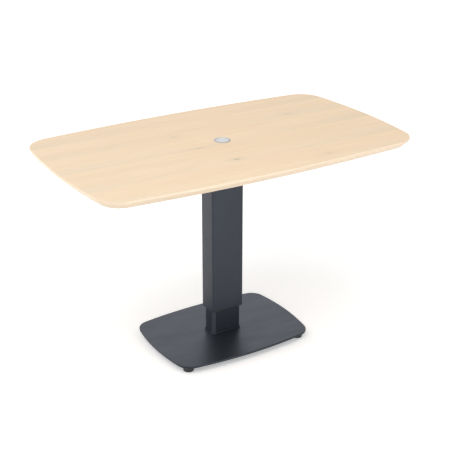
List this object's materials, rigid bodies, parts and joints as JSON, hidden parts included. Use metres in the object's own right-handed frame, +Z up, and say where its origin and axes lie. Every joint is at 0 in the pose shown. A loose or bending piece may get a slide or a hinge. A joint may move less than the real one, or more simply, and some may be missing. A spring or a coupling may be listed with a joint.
{
  "type": "height-adjustable pedestal table",
  "caption": "Height-adjustable pedestal table: bowed wooden top on a telescopic rectangular column with a gas spring, released by a button in the top, on a bowed base plate.",
  "frame": {"origin": "on the floor, under the middle of the column and of the top", "axes": "+X along the long sides of the top, +Y from the front to the rear, +Z up along the column"},
  "size_m": [1.2, 0.7, 0.7446],
  "materials": {
    "pale_wood": "satin",
    "charcoal_powder_coat": "satin",
    "black_steel": "satin",
    "black_plastic": "matte",
    "zinc_plated_steel": "satin",
    "chromed_steel": "polished",
    "satin_silver": "satin"
  },
  "bodies": {
    "base": {"base_plate": "charcoal_powder_coat", "column_flange": "charcoal_powder_coat", "inner_column": "charcoal_powder_coat", "upper_glide_bush": "black_plastic", "gas_cylinder": "black_steel", "gas_cylinder_nut": "zinc_plated_steel", "gas_rod_guide": "black_plastic", "flange_screw_1": "zinc_plated_steel", "flange_screw_2": "zinc_plated_steel", "flange_screw_3": "zinc_plated_steel", "flange_screw_4": "zinc_plated_steel", "foot_nut_front_left": "zinc_plated_steel", "foot_nut_front_right": "zinc_plated_steel", "foot_nut_rear_left": "zinc_plated_steel", "foot_nut_rear_right": "zinc_plated_steel"},
    "lift": {"table_top": "pale_wood", "outer_column": "charcoal_powder_coat", "head_plate": "charcoal_powder_coat", "lower_glide_bush": "black_plastic", "support_rail_front": "charcoal_powder_coat", "support_rail_rear": "charcoal_powder_coat", "rail_cap_front_left": "black_plastic", "rail_cap_front_right": "black_plastic", "rail_cap_rear_left": "black_plastic", "rail_cap_rear_right": "black_plastic", "top_screw_1": "zinc_plated_steel", "top_screw_2": "zinc_plated_steel", "top_screw_3": "zinc_plated_steel", "top_screw_4": "zinc_plated_steel", "top_screw_5": "zinc_plated_steel", "top_screw_6": "zinc_plated_steel", "top_screw_7": "zinc_plated_steel", "top_screw_8": "zinc_plated_steel", "gas_rod": "chromed_steel", "gas_piston": "zinc_plated_steel", "rod_nut_upper": "zinc_plated_steel", "rod_nut_lower": "zinc_plated_steel", "button_bezel": "satin_silver", "bezel_ring_nut": "black_plastic", "button_return_spring": "chromed_steel"},
    "button": {"release_button": "satin_silver", "button_plunger": "black_plastic", "plunger_clip": "zinc_plated_steel"},
    "valve_pin": {"release_pin": "chromed_steel"},
    "stud_front_left": {"foot_stud_front_left": "zinc_plated_steel"},
    "stud_front_right": {"foot_stud_front_right": "zinc_plated_steel"},
    "stud_rear_left": {"foot_stud_rear_left": "zinc_plated_steel"},
    "stud_rear_right": {"foot_stud_rear_right": "zinc_plated_steel"},
    "pad_front_left": {"foot_pad_front_left": "black_plastic"},
    "pad_front_right": {"foot_pad_front_right": "black_plastic"},
    "pad_rear_left": {"foot_pad_rear_left": "black_plastic"},
    "pad_rear_right": {"foot_pad_rear_right": "black_plastic"}
  },
  "joints": [
    {"name": "column_lift", "type": "slide", "parent": "base", "child": "lift", "axis": [0, 0, 1], "range_m": [-0.058, 0.292]},
    {"name": "button_press", "type": "slide", "parent": "lift", "child": "button", "axis": [0, 0, -1], "range_m": [0, 0.004], "stiffness_N_per_m": 2500, "springref_m": -0.004, "deforming": ["button_return_spring"]},
    {"name": "valve_pin_press", "type": "slide", "parent": "lift", "child": "valve_pin", "axis": [0, 0, -1], "range_m": [0, 0.0045]},
    {"name": "foot_front_left_travel", "type": "slide", "parent": "base", "child": "stud_front_left", "axis": [0, 0, -1], "range_m": [0, 0.006]},
    {"name": "foot_front_right_travel", "type": "slide", "parent": "base", "child": "stud_front_right", "axis": [0, 0, -1], "range_m": [0, 0.006]},
    {"name": "foot_rear_left_travel", "type": "slide", "parent": "base", "child": "stud_rear_left", "axis": [0, 0, -1], "range_m": [0, 0.006]},
    {"name": "foot_rear_right_travel", "type": "slide", "parent": "base", "child": "stud_rear_right", "axis": [0, 0, -1], "range_m": [0, 0.006]},
    {"name": "foot_front_left_turn", "type": "hinge", "parent": "stud_front_left", "child": "pad_front_left", "pos_m": [-0.225, -0.148, 0], "axis": [0, 0, -1], "range_deg": [0, 1720]},
    {"name": "foot_front_right_turn", "type": "hinge", "parent": "stud_front_right", "child": "pad_front_right", "pos_m": [0.225, -0.148, 0], "axis": [0, 0, -1], "range_deg": [0, 1720]},
    {"name": "foot_rear_left_turn", "type": "hinge", "parent": "stud_rear_left", "child": "pad_rear_left", "pos_m": [-0.225, 0.148, 0], "axis": [0, 0, -1], "range_deg": [0, 1720]},
    {"name": "foot_rear_right_turn", "type": "hinge", "parent": "stud_rear_right", "child": "pad_rear_right", "pos_m": [0.225, 0.148, 0], "axis": [0, 0, -1], "range_deg": [0, 1720]}
  ],
  "couplings": [
    {"joint": "valve_pin_press", "follows": "button_press", "ratio": 1},
    {"joint": "foot_front_left_travel", "follows": "foot_front_left_turn", "m_per_rad": 0.00019894},
    {"joint": "foot_front_right_travel", "follows": "foot_front_right_turn", "m_per_rad": 0.00019894},
    {"joint": "foot_rear_left_travel", "follows": "foot_rear_left_turn", "m_per_rad": 0.00019894},
    {"joint": "foot_rear_right_travel", "follows": "foot_rear_right_turn", "m_per_rad": 0.00019894}
  ]
}
